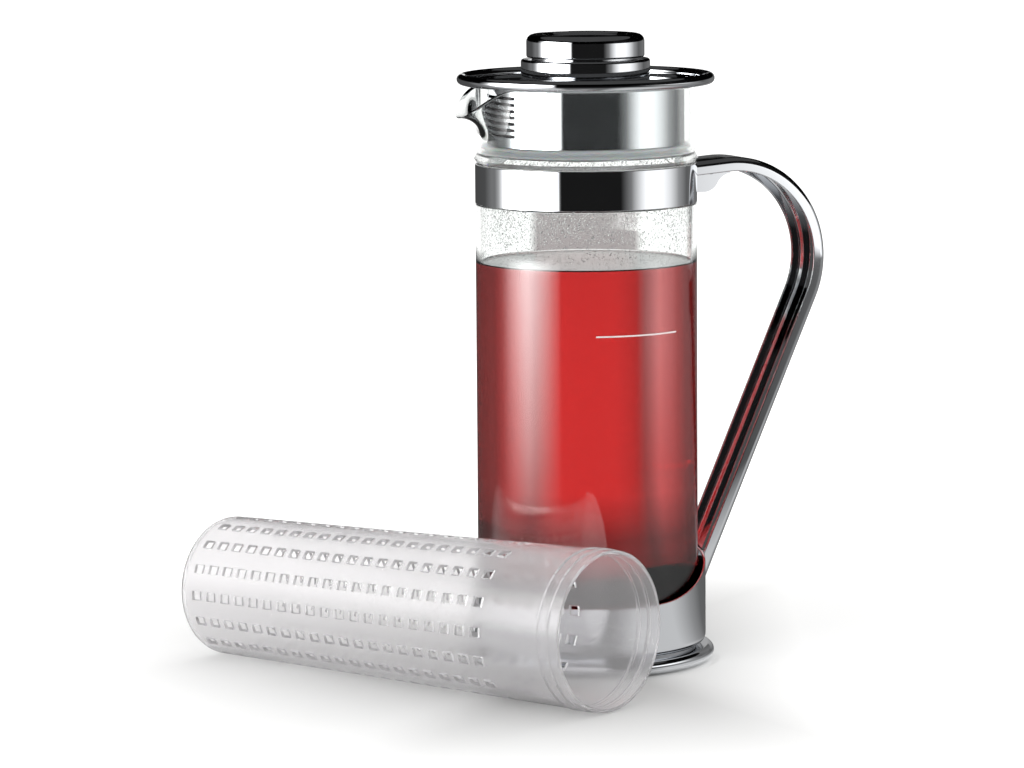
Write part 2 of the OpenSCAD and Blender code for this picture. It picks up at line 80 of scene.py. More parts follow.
camera = bpy.data.objects.new("camera", bpy.data.cameras.new("camera"))
camera.data.lens = LENS
camera.data.sensor_width = SENSOR_W
camera.data.clip_end = VIEW_END
turn = Matrix((rolled_right, rolled_up, -aim)).transposed().to_4x4()
place = -ahead * VIEW_DISTANCE - right * VIEW_LEFT + Vector((0, 0, VIEW_HEIGHT))
camera.matrix_world = Matrix.Translation(place) @ turn
bpy.context.scene.collection.objects.link(camera)
bpy.context.scene.camera = camera
print("camera at", [round(x, 3) for x in place])

# %% [markdown]
# ## Helpers for finishes
# Colours are written as the sRGB hex codes that a painter would pick, and one function turns them
# into the linear values that the shader works with. One more function adds a node: its inputs are
# plain numbers, earlier nodes, whose first output is meant, or named outputs of theirs. So a finish
# reads from top to bottom.


# %% Colour, node and material helpers
def linear(code):
    """An sRGB hex code as linear RGBA."""
    parts = [int(code[i:i + 2], 16) / 255 for i in (0, 2, 4)]
    return [c / 12.92 if c <= 0.04045 else ((c + 0.055) / 1.055) ** 2.4 for c in parts] + [1]


def add_node(tree, kind, inputs=None, **settings):
    """Adds a node, sets its own settings, and fills or links its inputs."""
    node = tree.nodes.new("ShaderNode" + kind)
    for name, value in settings.items():
        setattr(node, name, value)
    for name, value in (inputs or {}).items():
        if isinstance(value, bpy.types.Node):
            value = value.outputs[0]
        if isinstance(value, bpy.types.NodeSocket):
            tree.links.new(value, node.inputs[name])
        else:
            node.inputs[name].default_value = value
    return node


def new_material(name):
    """An empty node material and its tree."""
    material = bpy.data.materials.new(name)
    material.use_nodes = True
    material.node_tree.nodes.clear()
    return material, material.node_tree


def show(material, surface):
    """Ends a material: its surface goes to the output."""
    add_node(material.node_tree, "OutputMaterial", {"Surface": surface})
    return material


WHITE = linear("FFFFFF")
print("mid grey 808080 in linear light:", round(linear("808080")[0], 3))

# %% [markdown]
# ## Chrome, steel and rubber
# Bright chrome is a mirror: what the eye reads as chrome is the room round it. The plate itself only
# adds a faint blue-grey tint and the haze of polishing, which comes and goes over some millimetres.
# The drawn cup is a little softer than the rest. Screws are plain turned steel.


# %% Chrome plate, turned steel and rubber
def chrome_plate(name, sharp, soft):
    """Chrome on polished steel: a near mirror whose haze wanders between two roughnesses."""
    material, tree = new_material(name)
    where = add_node(tree, "TexCoord").outputs["Object"]
    haze = add_node(tree, "TexNoise", {"Vector": where, "Scale": 1 / (9 * MM), "Detail": 5})
    rough = add_node(tree, "MapRange", {"Value": haze, "From Min": 0.35, "From Max": 0.7,
                                        "To Min": sharp, "To Max": soft})
    surface = add_node(tree, "BsdfPrincipled", {"Base Color": linear("E9EBEE"), "Metallic": 1,
                                                "Roughness": rough})
    return show(material, surface)


def turned_steel():
    """Machined screw steel: fine tool marks of about 0.3 mm break up its gloss."""
    material, tree = new_material("turned_steel")
    where = add_node(tree, "TexCoord").outputs["Object"]
    marks = add_node(tree, "TexNoise", {"Vector": where, "Scale": 1 / (0.3 * MM), "Detail": 2})
    rough = add_node(tree, "MapRange", {"Value": marks, "To Min": 0.2, "To Max": 0.42})
    surface = add_node(tree, "BsdfPrincipled", {"Base Color": linear("B4B6B8"), "Metallic": 1,
                                                "Roughness": rough})
    return show(material, surface)


def moulded_rubber():
    """Black rubber: matt, with a fine moulded grain of about 0.4 mm."""
    material, tree = new_material("moulded_rubber")
    where = add_node(tree, "TexCoord").outputs["Object"]
    grain = add_node(tree, "TexNoise", {"Vector": where, "Scale": 1 / (0.4 * MM), "Detail": 3})
    bump = add_node(tree, "Bump", {"Height": grain, "Strength": 0.3, "Distance": 0.05 * MM})
    surface = add_node(tree, "BsdfPrincipled", {"Base Color": linear("1E1E20"), "Roughness": 0.75,
                                                "Normal": bump})
    return show(material, surface)


CHROME = chrome_plate("chrome_plate", 0.02, 0.05)
DRAWN_CHROME = chrome_plate("drawn_chrome", 0.06, 0.11)
STEEL = turned_steel()
RUBBER = moulded_rubber()
print("made:", [item.name for item in (CHROME, DRAWN_CHROME, STEEL, RUBBER)])

# %% [markdown]
# ## Glass, tea, water and mist
# Borosilicate glass is clear and bends light a little more than water does. The tea is a coloured
# liquid, so its colour is in its depth: a volume that swallows green and blue within a few
# millimetres and lets red through. Fog on the glass is a thin coat that covers it in grains.


# %% Glass, tea, water and mist
GLASS_INDEX = 1.47
WATER_INDEX = 1.333


def clear_body(name, colour, index):
    """A smooth clear body: its material, its node tree and the tree's output node."""
    material, tree = new_material(name)
    surface = add_node(tree, "BsdfPrincipled", {"Base Color": linear(colour), "Roughness": 0,
                                                "Transmission Weight": 1, "IOR": index})
    output = add_node(tree, "OutputMaterial", {"Surface": surface})
    return material, tree, output


def red_tea():
    """Hibiscus tea: water that absorbs green and blue strongly and red weakly."""
    material, tree, output = clear_body("red_tea", "FFFFFF", WATER_INDEX)
    depth = add_node(tree, "VolumeAbsorption", {"Color": linear("ED3035"), "Density": 45})
    tree.links.new(depth.outputs["Volume"], output.inputs["Volume"])
    return material


def fine_mist():
    """Fog on cold glass: grains of about 1.2 mm that hold back part of the light."""
    material, tree = new_material("fine_mist")
    where = add_node(tree, "TexCoord").outputs["Object"]
    grain = add_node(tree, "TexNoise", {"Vector": where, "Scale": 1 / (1.2 * MM), "Detail": 3})
    cover = add_node(tree, "MapRange", {"Value": grain, "From Min": 0.35, "From Max": 0.65,
                                        "To Min": 0.02, "To Max": 0.16})
    surface = add_node(tree, "BsdfPrincipled", {"Base Color": linear("C4BEBE"), "Roughness": 0.6,
                                                "Alpha": cover})
    return show(material, surface)


GLASS = clear_body("beaker_glass", "FCFEFD", GLASS_INDEX)[0]
TEA = red_tea()
WATER = clear_body("clear_water", "FFFFFF", WATER_INDEX)[0]
MIST = fine_mist()
print("made:", [item.name for item in (GLASS, TEA, WATER, MIST)])

# %% [markdown]
# ## Silicone, frosted plastic and enamel
# The gasket is cloudy silicone, which lets light some way in. The infuser is natural polypropylene:
# its thin wall is rough on both faces and milky inside, so it blurs what is behind it like frost. The
# wall's index is set below the solid plastic's 1.49, because a high one traps light in the thin wall
# and turns it grey. The level line on the glass is fired enamel.


# %% Silicone, frosted plastic and enamel
def cloudy_silicone():
    """Translucent moulded silicone: light goes some way in, and faint clouds of 5 mm show."""
    material, tree = new_material("cloudy_silicone")
    where = add_node(tree, "TexCoord").outputs["Object"]
    cloud = add_node(tree, "TexNoise", {"Vector": where, "Scale": 1 / (5 * MM), "Detail": 3})
    tint = add_node(tree, "Mix", {"Factor": cloud, "A": linear("E6EAEE"), "B": linear("FAFBFC")},
                    data_type="RGBA")
    surface = add_node(tree, "BsdfPrincipled", {
        "Base Color": tint.outputs["Result"], "Roughness": 0.35, "IOR": 1.41,
        "Transmission Weight": 0.3, "Subsurface Weight": 0.4, "Subsurface Scale": 2 * MM})
    return show(material, surface)


def frosted_plastic():
    """Natural polypropylene: milky, satin outside, with a faint moulded ripple of 12 mm."""
    material, tree = new_material("frosted_plastic")
    where = add_node(tree, "TexCoord").outputs["Object"]
    ripple = add_node(tree, "TexNoise", {"Vector": where, "Scale": 1 / (12 * MM), "Detail": 3})
    rough = add_node(tree, "MapRange", {"Value": ripple, "From Min": 0.3, "From Max": 0.7,
                                        "To Min": 0.13, "To Max": 0.21})
    bump = add_node(tree, "Bump", {"Height": ripple, "Strength": 0.08, "Distance": 0.3 * MM})
    surface = add_node(tree, "BsdfPrincipled", {
        "Base Color": linear("FEFDFE"), "Roughness": rough, "IOR": 1.26,
        "Transmission Weight": 0.8, "Normal": bump})
    return show(material, surface)


def white_enamel():
    """Fired enamel: white, and a little warmer in patches of 1.5 mm where its coat is thin."""
    material, tree = new_material("white_enamel")
    where = add_node(tree, "TexCoord").outputs["Object"]
    patch = add_node(tree, "TexNoise", {"Vector": where, "Scale": 1 / (1.5 * MM), "Detail": 3})
    tint = add_node(tree, "Mix", {"Factor": patch, "A": linear("F1E6E2"), "B": WHITE},
                    data_type="RGBA")
    surface = add_node(tree, "BsdfPrincipled", {"Base Color": tint.outputs["Result"], "Roughness": 0.35})
    return show(material, surface)


SILICONE = cloudy_silicone()
FROSTED = frosted_plastic()
ENAMEL = white_enamel()
print("made:", [item.name for item in (SILICONE, FROSTED, ENAMEL)])

# %% [markdown]
# ## Helpers for shapes
# A turned piece starts as a flat outline of a few corners. The corners are rounded with a vertex
# bevel, the face is thrown away, and its edges are spun about the axis. Chrome shows every
# unevenness, so shading is smooth except where two faces meet at a real edge.

# %% Finish a mesh, spin an outline
SHARP_EDGE = math.radians(38)
MERGE = 0.002 * MM
# How far from a ring a point may be and still count as lying on it
SLACK = 0.1 * MM
# A bevel of half a thickness would close up, so a full round stops just short of it
FULL_ROUND = 0.499


def finish_piece(mesh, name, material, body, replaced=()):
    """Turns a bmesh into a piece that rides on a body and stands for CAD nodes."""
    bmesh.ops.recalc_face_normals(mesh, faces=mesh.faces[:])
    for face in mesh.faces:
        face.smooth = True
    for edge in mesh.edges:
        edge.smooth = edge.calc_face_angle(0) < SHARP_EDGE
    data = bpy.data.meshes.new(name)
    mesh.to_mesh(data)
    mesh.free()
    data.materials.append(material)
    piece = bpy.data.objects.new(name, data)
    bpy.context.scene.collection.objects.link(piece)
    weighted = piece.modifiers.new("weighted_normals", "WEIGHTED_NORMAL")
    weighted.mode = "FACE_AREA"
    weighted.weight = 100
    weighted.keep_sharp = True
    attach(piece, body)
    if replaced:
        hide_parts(*replaced)
    print(f"{name}: {len(data.polygons)} faces")
    return piece


def outline(corners, soft=(), segments=8):
    """A flat face in the XZ plane. soft holds (radius, corner numbers) pairs."""
    mesh = bmesh.new()
    points = [mesh.verts.new((x * MM, 0, z * MM)) for x, z in corners]
    mesh.faces.new(points)
    for radius, chosen in soft:
        bmesh.ops.bevel(mesh, geom=[points[i] for i in chosen], offset=radius * MM,
                        offset_type="OFFSET", segments=segments, profile=0.5,
                        affect="VERTICES", material=-1)
    return mesh


def open_line(corners):
    """A bare chain of edges in the XZ plane."""
    mesh = bmesh.new()
    points = [mesh.verts.new((x * MM, 0, z * MM)) for x, z in corners]
    for first, second in zip(points, points[1:]):
        mesh.edges.new((first, second))
    return mesh


def spin_outline(mesh, steps):
    """Spins the outline's edges a full turn about Z into a skin."""
    if mesh.faces:
        bmesh.ops.delete(mesh, geom=mesh.faces[:], context="FACES_ONLY")
    bmesh.ops.spin(mesh, geom=mesh.verts[:] + mesh.edges[:], cent=(0, 0, 0), axis=(0, 0, 1),
                   angle=2 * math.pi, steps=steps, use_merge=True)
    bmesh.ops.remove_doubles(mesh, verts=mesh.verts[:], dist=MERGE)
    bmesh.ops.recalc_face_normals(mesh, faces=mesh.faces[:])
    return mesh


def turned(corners, soft=(), steps=160):
    """A closed solid turned about Z."""
    return spin_outline(outline(corners, soft), steps)


print("edges sharper than", round(math.degrees(SHARP_EDGE)), "degrees stay crisp")

# %% [markdown]
# ## The foot and the cup
# The foot ring is a ring with a fully rounded edge. A dark groove parts it from the cup above. The
# cup is drawn from sheet, and its rim is level at the spout's side and sweeps up to the handle: the
# turned cup is made too tall, and its rim is then moved down to that curve.

# %% Foot ring
FOOT_IN = 37
FOOT_Z = 0.4
FOOT_TOP = 6.4
FOOT_R = 57.3
GROOVE_R = 49.0
CUP_Z = 7.3
PAD_TOP = 1.6
PAD_GAP = 0.05
pad_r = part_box("foot_pad")[1].x / MM + PAD_GAP
foot = turned([(FOOT_IN, PAD_TOP), (pad_r, PAD_TOP), (pad_r, FOOT_Z), (FOOT_R, FOOT_Z),
               (FOOT_R, FOOT_TOP), (GROOVE_R, FOOT_TOP), (GROOVE_R, CUP_Z), (FOOT_IN, CUP_Z)],
              soft=[((FOOT_TOP - FOOT_Z) * FULL_ROUND, (3, 4))])
finish_piece(foot, "foot_ring_chrome", CHROME, "pitcher", ["foot_ring"])

# %% Base cup
CUP_R = 53.5
CUP_WALL = 1.0
CUP_RIM = 31.3
CUP_RISE = 17.5
CUP_SPARE = 5
RIM_ZONE = 1
SWEEP = 45.5
SWEEP_R = (SWEEP ** 2 + CUP_RISE ** 2) / (2 * CUP_RISE)
CUP_TOP = CUP_RIM + CUP_RISE + CUP_SPARE


def cup_rim(x):
    """Height of the rim at a place along X, both in millimetres."""
    run = max(0, x - (CUP_R - SWEEP))
    return CUP_RIM + SWEEP_R - math.sqrt(SWEEP_R ** 2 - run ** 2)


cup = turned([(0, CUP_Z), (CUP_R, CUP_Z), (CUP_R, CUP_TOP), (CUP_R - CUP_WALL, CUP_TOP),
              (CUP_R - CUP_WALL, CUP_Z + CUP_WALL), (0, CUP_Z + CUP_WALL)],
             soft=[(4, (1,)), (3, (4,)), (0.3, (2, 3))], steps=240)
for point in cup.verts:
    if point.co.z > (CUP_TOP - RIM_ZONE) * MM:
        point.co.z += (cup_rim(point.co.x / MM) - CUP_TOP) * MM
finish_piece(cup, "base_cup_chrome", DRAWN_CHROME, "pitcher", ["base_cup"])

# %% [markdown]
# ## The glass beaker
# One outline goes up the outside and back down the inside, so the wall is real and light bends in
# it. The glass is drawn in under the band. The spout is pulled from the neck: near the front middle
# every ring of points moves out and down, most at the lip, and the move fades to nothing at both
# sides.

# %% Turned glass
GLASS_Z = 9.5
GLASS_R = 50.0
GLASS_IN = 47.7
GLASS_FLOOR = 12.9
RIM_Z = 261.1
NECK_R = 49.3
NECK_BORE = 47.3
BAND_Z = 208.3
BAND_TOP = 225.8
WAIST_R = 49.35
SPOUT_ROOT = RIM_Z - 24
SPOUT_ROWS = 16
LONG_EDGE = 5

beaker = outline([(0, GLASS_Z), (GLASS_R, GLASS_Z), (GLASS_R, BAND_Z - 0.6), (WAIST_R, BAND_Z - 0.1),
                  (WAIST_R, BAND_TOP + 0.5), (GLASS_R + 0.5, BAND_TOP + 2.5), (NECK_R, BAND_TOP + 5),
                  (NECK_R, SPOUT_ROOT), (NECK_R, RIM_Z), (NECK_BORE, RIM_Z), (NECK_BORE, SPOUT_ROOT),
                  (NECK_BORE, BAND_TOP + 5), (GLASS_IN, BAND_TOP + 4), (GLASS_IN, GLASS_FLOOR),
                  (0, GLASS_FLOOR)],
                 soft=[(10, (1,)), (7.7, (13,)), (0.9, (8, 9)), (0.6, (4, 6)), (0.2, (2, 3))])
bmesh.ops.delete(beaker, geom=beaker.faces[:], context="FACES_ONLY")
neck = [edge for edge in beaker.edges
        if min(p.co.z for p in edge.verts) > SPOUT_ROOT * MM - SLACK
        and edge.calc_length() > LONG_EDGE * MM]
bmesh.ops.subdivide_edges(beaker, edges=neck, cuts=SPOUT_ROWS)
spin_outline(beaker, 288)
print("rows of the neck that the spout can bend:", SPOUT_ROWS + 1)

# %% Pulled spout
SPOUT_REACH = 13.7
SPOUT_DROOP = 13
SPOUT_HALF = math.radians(28)
# Powers that shape the pull: how fast it grows up the neck, and how wide its reach and its droop are
SPOUT_GROWTH = 1.7
REACH_WIDTH = 0.8
DROOP_WIDTH = 1.4
for point in beaker.verts:
    share = (point.co.z / MM - SPOUT_ROOT) / (RIM_Z - SPOUT_ROOT)
    off = math.atan2(point.co.y, -point.co.x) / SPOUT_HALF
    if share > 0 and abs(off) < 1:
        pull = math.cos(off * math.pi / 2) ** 2
        lift = (1 - pull) * share + pull * math.sin(share * math.pi / 2)
        radius = math.hypot(point.co.x, point.co.y)
        wider = (radius + pull ** REACH_WIDTH * SPOUT_REACH * MM * share ** SPOUT_GROWTH) / radius
        height = SPOUT_ROOT + lift * (RIM_Z - SPOUT_DROOP * pull ** DROOP_WIDTH - SPOUT_ROOT)
        point.co = (point.co.x * wider, point.co.y * wider, height * MM)
finish_piece(beaker, "glass_beaker_clear", GLASS, "pitcher", ["glass_beaker"])

# %% [markdown]
# ## Tea and level line
# The tea's skin lies a little inside the glass wall, so no air film shows between them, and it
# creeps up the wall in a meniscus. The white line is enamel fired on the outside: a thin flat
# outline, swept part of a turn.

# %% Tea
TEA_LEVEL = 181.2
TEA_OVERLAP = 0.15
# The meniscus, as distances from the wall and heights above the level
MENISCUS = [(0, 0.9), (0.4, 0.4), (1, 0.12), (2, 0)]
tea_r = GLASS_IN + TEA_OVERLAP
tea_floor = GLASS_FLOOR - TEA_OVERLAP
tea = turned([(0, tea_floor), (tea_r, tea_floor),
              *[(tea_r - away, TEA_LEVEL + rise) for away, rise in MENISCUS], (0, TEA_LEVEL)],
             soft=[(7.8, (1,))], steps=240)
finish_piece(tea, "iced_tea", TEA, "pitcher")

# %% Level line
LINE_Z = 152.3
LINE_H = 0.7
LINE_SUNK = 0.02
LINE_PROUD = 0.06
LINE_START = math.radians(-110.2)
LINE_ANGLE = math.radians(48)
line_in, line_out, line_top = GLASS_R - LINE_SUNK, GLASS_R + LINE_PROUD, LINE_Z + LINE_H
line = outline([(line_in, LINE_Z), (line_out, LINE_Z), (line_out, line_top), (line_in, line_top)])
bmesh.ops.rotate(line, verts=line.verts[:], matrix=Matrix.Rotation(LINE_START, 3, "Z"))
bmesh.ops.spin(line, geom=line.faces[:], cent=(0, 0, 0), axis=(0, 0, 1), angle=LINE_ANGLE, steps=48)
finish_piece(line, "level_line", ENAMEL, "pitcher")

# %% [markdown]
# ## Condensation
# Cold tea fogs the glass above it. The fog is many small flattened drops on the inside of the wall,
# crowded under the band, and a ring of them above it, where a thin coat of mist lies too. Each drop
# is a small ball with few faces, scaled, moved to the wall and turned to its place round it.

# %% Condensation
random.seed(7)
DROPS = 8400
RING_EVERY = 6
RING_LOW = 226.5
RING_HIGH = 230.0
FOG_TOP = BAND_Z - 0.8
FOG_DEPTH = 23
FOG_CROWDING = 1.3
SMALL_SHARE = 0.96
SMALL = (0.14, 0.3)
LARGE = (0.3, 0.5)
TALL = (0.9, 1.3)
FLAT = 0.4
ball = bmesh.new()
bmesh.ops.create_icosphere(ball, subdivisions=1, radius=MM)
ball_data = bpy.data.meshes.new("ball")
ball.to_mesh(ball_data)
ball.free()
drops = bmesh.new()
for count in range(DROPS):
    if count % RING_EVERY == 0:
        height = random.uniform(RING_LOW, RING_HIGH)
    else:
        height = FOG_TOP - random.random() ** FOG_CROWDING * FOG_DEPTH
    size = random.uniform(*(SMALL if random.random() < SMALL_SHARE else LARGE))
    shape = Matrix.Diagonal((FLAT * size, size, size * random.uniform(*TALL), 1))
    angle = Matrix.Rotation(random.uniform(0, 2 * math.pi), 4, "Z")
    drop = ball_data.copy()
    drop.transform(angle @ Matrix.Translation((GLASS_IN * MM, 0, height * MM)) @ shape)
    drops.from_mesh(drop)
    bpy.data.meshes.remove(drop)
bpy.data.meshes.remove(ball_data)
finish_piece(drops, "condensation", WATER, "pitcher")

# %% Mist between the drops
MIST_T = 0.1
MIST_LOW = 226.2
MIST_HIGH = 229.6
MIST_GAP = 0.05
mist_r = GLASS_IN - MIST_GAP
mist_in = mist_r - MIST_T
mist = turned([(mist_in, MIST_LOW), (mist_r, MIST_LOW), (mist_r, MIST_HIGH), (mist_in, MIST_HIGH)],
              steps=180)
finish_piece(mist, "mist_above_band", MIST, "pitcher")

# %% [markdown]
# ## The clamp band and its lugs
# The band is a strip of sheet bent round the glass. Its two ends fold out into lugs that carry the
# clamp screw and that the handle hides from above. Each lug's lower edge is an S-curve of two equal
# arcs, which come from one vertex bevel on the two corners of the outline.

# %% Clamp band
BAND_IN = 49.45
BAND_R = 50.05
LUG_Y = 5.5
band = outline([(BAND_IN, BAND_Z), (BAND_R, BAND_Z), (BAND_R, BAND_TOP), (BAND_IN, BAND_TOP)],
               soft=[(0.2, (1, 2))], segments=3)
half_gap = math.asin(LUG_Y / BAND_R)
bmesh.ops.rotate(band, verts=band.verts[:], matrix=Matrix.Rotation(half_gap, 3, "Z"))
bmesh.ops.spin(band, geom=band.faces[:], cent=(0, 0, 0), axis=(0, 0, 1),
               angle=2 * math.pi - 2 * half_gap, steps=236)
print("gap of the split band:", round(math.degrees(2 * half_gap), 1), "degrees")

# %% Lugs of the band
LUG_T = BAND_R - BAND_IN
LUG_X = 49.4
LUG_Z = 210.6
LUG_TOP = 223.1
LUG_STEP = (61.34, 65.1)
LUG_TIP = 69.57
LUG_TIP_Z = 218.68
LUG_ARC = 4.44
lug_corners = [(LUG_X, LUG_Z), (LUG_STEP[0], LUG_Z), (LUG_STEP[1], LUG_TIP_Z), (LUG_TIP, LUG_TIP_Z),
               (LUG_TIP, LUG_TOP), (LUG_X, LUG_TOP)]
for side in (-1, 1):
    lug = outline(lug_corners, soft=[(LUG_ARC, (1, 2))])
    walls = bmesh.ops.extrude_face_region(lug, geom=lug.faces[:])
    moved = [item for item in walls["geom"] if isinstance(item, bmesh.types.BMVert)]
    bmesh.ops.translate(lug, verts=moved, vec=(0, LUG_T * MM, 0))
    bmesh.ops.translate(lug, verts=lug.verts[:], vec=(0, (side * (LUG_Y + LUG_T / 2) - LUG_T / 2) * MM, 0))
    lug_data = bpy.data.meshes.new("lug")
    lug.to_mesh(lug_data)
    lug.free()
    band.from_mesh(lug_data)
    bpy.data.meshes.remove(lug_data)
finish_piece(band, "clamp_band_chrome", CHROME, "pitcher", ["clamp_band"])

# %% [markdown]
# ## The handle
# The handle is a channel: a strip with two folded walls that point at the jug. Its section is spun
# through the bend, and both ends are drawn out straight. The end points then slide along the run
# until they meet the band above and the cup below, as a coped tube end does.

# %% Bend of the handle
BEND_X = 69.2
BEND_Z = 179.4
BEND_R = 46.8
BEND_TOP = math.radians(94)
BEND_LOW = math.radians(-24.28)
CHANNEL_W = 23
CHANNEL_D = 6.3
CHANNEL_T = 1.5
back, mouth, half = BEND_R, BEND_R - CHANNEL_D, CHANNEL_W / 2
inner, web = half - CHANNEL_T, BEND_R - CHANNEL_T
handle = outline([(back, -half), (back, half), (mouth, half), (mouth, inner), (web, inner), (web, -inner),
                  (mouth, -inner), (mouth, -half)],
                 soft=[(3, (0, 1)), (1.5, (4, 5)), (0.5, (2, 3, 6, 7))])
bmesh.ops.delete(handle, geom=handle.faces[:], context="FACES_ONLY")
bend_axis = Vector((BEND_X, 0, BEND_Z)) * MM
bmesh.ops.rotate(handle, verts=handle.verts[:], matrix=Matrix.Rotation(math.pi / 2, 3, "X"))
bmesh.ops.rotate(handle, verts=handle.verts[:], matrix=Matrix.Rotation(-BEND_TOP, 3, "Y"))
bmesh.ops.translate(handle, verts=handle.verts[:], vec=bend_axis)
top_loop = handle.edges[:]
bent = bmesh.ops.spin(handle, geom=handle.verts[:] + handle.edges[:], cent=bend_axis, axis=(0, 1, 0),
                      angle=BEND_TOP - BEND_LOW, steps=72)
low_loop = [item for item in bent["geom_last"] if isinstance(item, bmesh.types.BMEdge)]
print("the handle bends through", round(math.degrees(BEND_TOP - BEND_LOW)), "degrees")

# %% Ends of the handle
COPE_GAP = 0.05


def draw_out(mesh, loop, direction, radius):
    """Extrudes an end loop along a direction until each point meets an upright cylinder."""
    grown = bmesh.ops.extrude_edge_only(mesh, edges=loop)
    for point in [item for item in grown["geom"] if isinstance(item, bmesh.types.BMVert)]:
        reach = math.sqrt((radius * MM) ** 2 - point.co.y ** 2)
        point.co += direction * ((reach - point.co.x) / direction.x)


to_band = Vector((-math.sin(BEND_TOP), 0, math.cos(BEND_TOP)))
to_cup = Vector((math.sin(BEND_LOW), 0, -math.cos(BEND_LOW)))
draw_out(handle, top_loop, to_band, BAND_R + COPE_GAP)
draw_out(handle, low_loop, to_cup, CUP_R + COPE_GAP)
bmesh.ops.holes_fill(handle, edges=[edge for edge in handle.edges if edge.is_boundary])
finish_piece(handle, "handle_chrome", CHROME, "pitcher", ["handle"])

# %% [markdown]
# ## The lid
# The lid is a stack of turned pieces: a flat dish with a rolled bead, a slotted skirt below it, a
# collar and a knob above it. The skirt is spun as a bare sheet whose rows match the slots. The faces
# of the slots are deleted, and the sheet is then given its thickness.

# %% Dish with its bead
LID_Z = 261.5
LID_R = 58.0
BEAD = 4.8
DISH_T = 0.8
SCREW_HOLE = 2.45
bead_in = LID_R - BEAD
bead_top = LID_Z + BEAD
dish = turned([(SCREW_HOLE, LID_Z), (LID_R, LID_Z), (LID_R, bead_top), (bead_in, bead_top),
               (bead_in, LID_Z + DISH_T), (SCREW_HOLE, LID_Z + DISH_T)],
              soft=[(BEAD * FULL_ROUND, (1, 2, 3)), (1.2, (4,))], steps=240)
finish_piece(dish, "lid_cover_chrome", CHROME, "lid", ["lid_cover"])

# %% Slotted skirt
SKIRT_R = 44.4
SKIRT_T = 0.8
SKIRT_Z = 235.0
SKIRT_STEPS = 180
SLOTS = 7
SLOT_H = 1.4
SLOT_PITCH = 2.8
SLOT_HALF = math.radians(20)
SLOTS_DOWN = 4
slots_top = LID_Z - SLOTS_DOWN
slots_z = slots_top - SLOT_H - (SLOTS - 1) * SLOT_PITCH
rows = [slots_z + i * SLOT_PITCH + j * SLOT_H for i in range(SLOTS) for j in (0, 1)]
skirt = open_line([(-SKIRT_R, z) for z in (SKIRT_Z, *rows, LID_Z)])
half_step = Matrix.Rotation(math.pi / SKIRT_STEPS, 3, "Z")
bmesh.ops.rotate(skirt, verts=skirt.verts[:], matrix=half_step)
spin_outline(skirt, SKIRT_STEPS)
slot_faces = []
for face in skirt.faces:
    middle = face.calc_center_median()
    level = (middle.z / MM - slots_z) % SLOT_PITCH
    inside = slots_z < middle.z / MM < slots_top
    if inside and level < SLOT_H and abs(math.atan2(middle.y, -middle.x)) < SLOT_HALF:
        slot_faces.append(face)
bmesh.ops.delete(skirt, geom=slot_faces, context="FACES")
bmesh.ops.solidify(skirt, geom=skirt.faces[:], thickness=SKIRT_T * MM)
finish_piece(skirt, "lid_skirt_chrome", CHROME, "lid", ["lid_skirt"])

# %% Collar
COLLAR_R = 29.1
COLLAR_TOP = 272.8
COLLAR_WALL = 1.2
FLARE = 1.5
FLARE_T = 0.1
FLARE_ROUND = 1.485
collar_z = LID_Z + DISH_T
collar_in = COLLAR_R - COLLAR_WALL
flare_r, flare_top = COLLAR_R + FLARE, collar_z + FLARE_T
collar = turned([(collar_in, collar_z), (flare_r, collar_z), (flare_r, flare_top), (COLLAR_R, flare_top),
                 (COLLAR_R, COLLAR_TOP), (SCREW_HOLE, COLLAR_TOP),
                 (SCREW_HOLE, COLLAR_TOP - COLLAR_WALL), (collar_in, COLLAR_TOP - COLLAR_WALL)],
                soft=[(FLARE_ROUND, (3,)), (1.2, (4,))])
finish_piece(collar, "knob_collar_chrome", CHROME, "lid", ["knob_collar"])

# %% Knob
KNOB_R = 26.6
KNOB_TOP = 283.9
KNOB_FOOT = 24.2
KNOB_GROOVE = 0.7
RECESS_R = 17.8
RECESS = 0.9
knob_z = COLLAR_TOP + KNOB_GROOVE
knob = turned([(0, COLLAR_TOP), (KNOB_FOOT, COLLAR_TOP), (KNOB_FOOT, knob_z), (KNOB_R, knob_z),
               (KNOB_R, KNOB_TOP), (RECESS_R + RECESS, KNOB_TOP), (RECESS_R, KNOB_TOP - RECESS),
               (0, KNOB_TOP - RECESS)],
              soft=[(1, (3,)), (3.4, (4,)), (0.35, (5, 6))])
finish_piece(knob, "lid_knob_chrome", CHROME, "lid", ["lid_knob"])

# %% [markdown]
# ## The gasket
# A silicone ring below the skirt seals the lid in the neck. It stays still while the lid turns in it,
# so it rides on a body of its own. A groove between two lips lets it give, and its outline takes its
# height from the CAD ring.

# %% Gasket
GASKET_R = 47.0
GASKET_IN = 43.85
gasket_low, gasket_high = (corner.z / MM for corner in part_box("lid_gasket"))
lip = (gasket_high - gasket_low) / 3
groove_low, groove_high = gasket_low + lip, gasket_high - lip
groove_r = (GASKET_R + GASKET_IN) / 2
gasket = turned([(GASKET_IN, gasket_low), (GASKET_R, gasket_low), (GASKET_R, groove_low),
                 (groove_r, groove_low), (groove_r, groove_high), (GASKET_R, groove_high),
                 (GASKET_R, gasket_high), (GASKET_IN, gasket_high)],
                soft=[(0.5, (1, 2, 5, 6)), (0.3, (3, 4))])
finish_piece(gasket, "lid_gasket_silicone", SILICONE, "lid_seal", ["lid_gasket"])

# %% [markdown]
# ## The infuser tube
# The tube is moulded in one piece: a tapering wall with a rounded closed end, two thread ridges near
# the mouth and rows of square holes. It is spun upright as a bare skin whose rings and columns match
# the holes, the hole faces are deleted, and the skin gets its thickness. Then it is laid down.

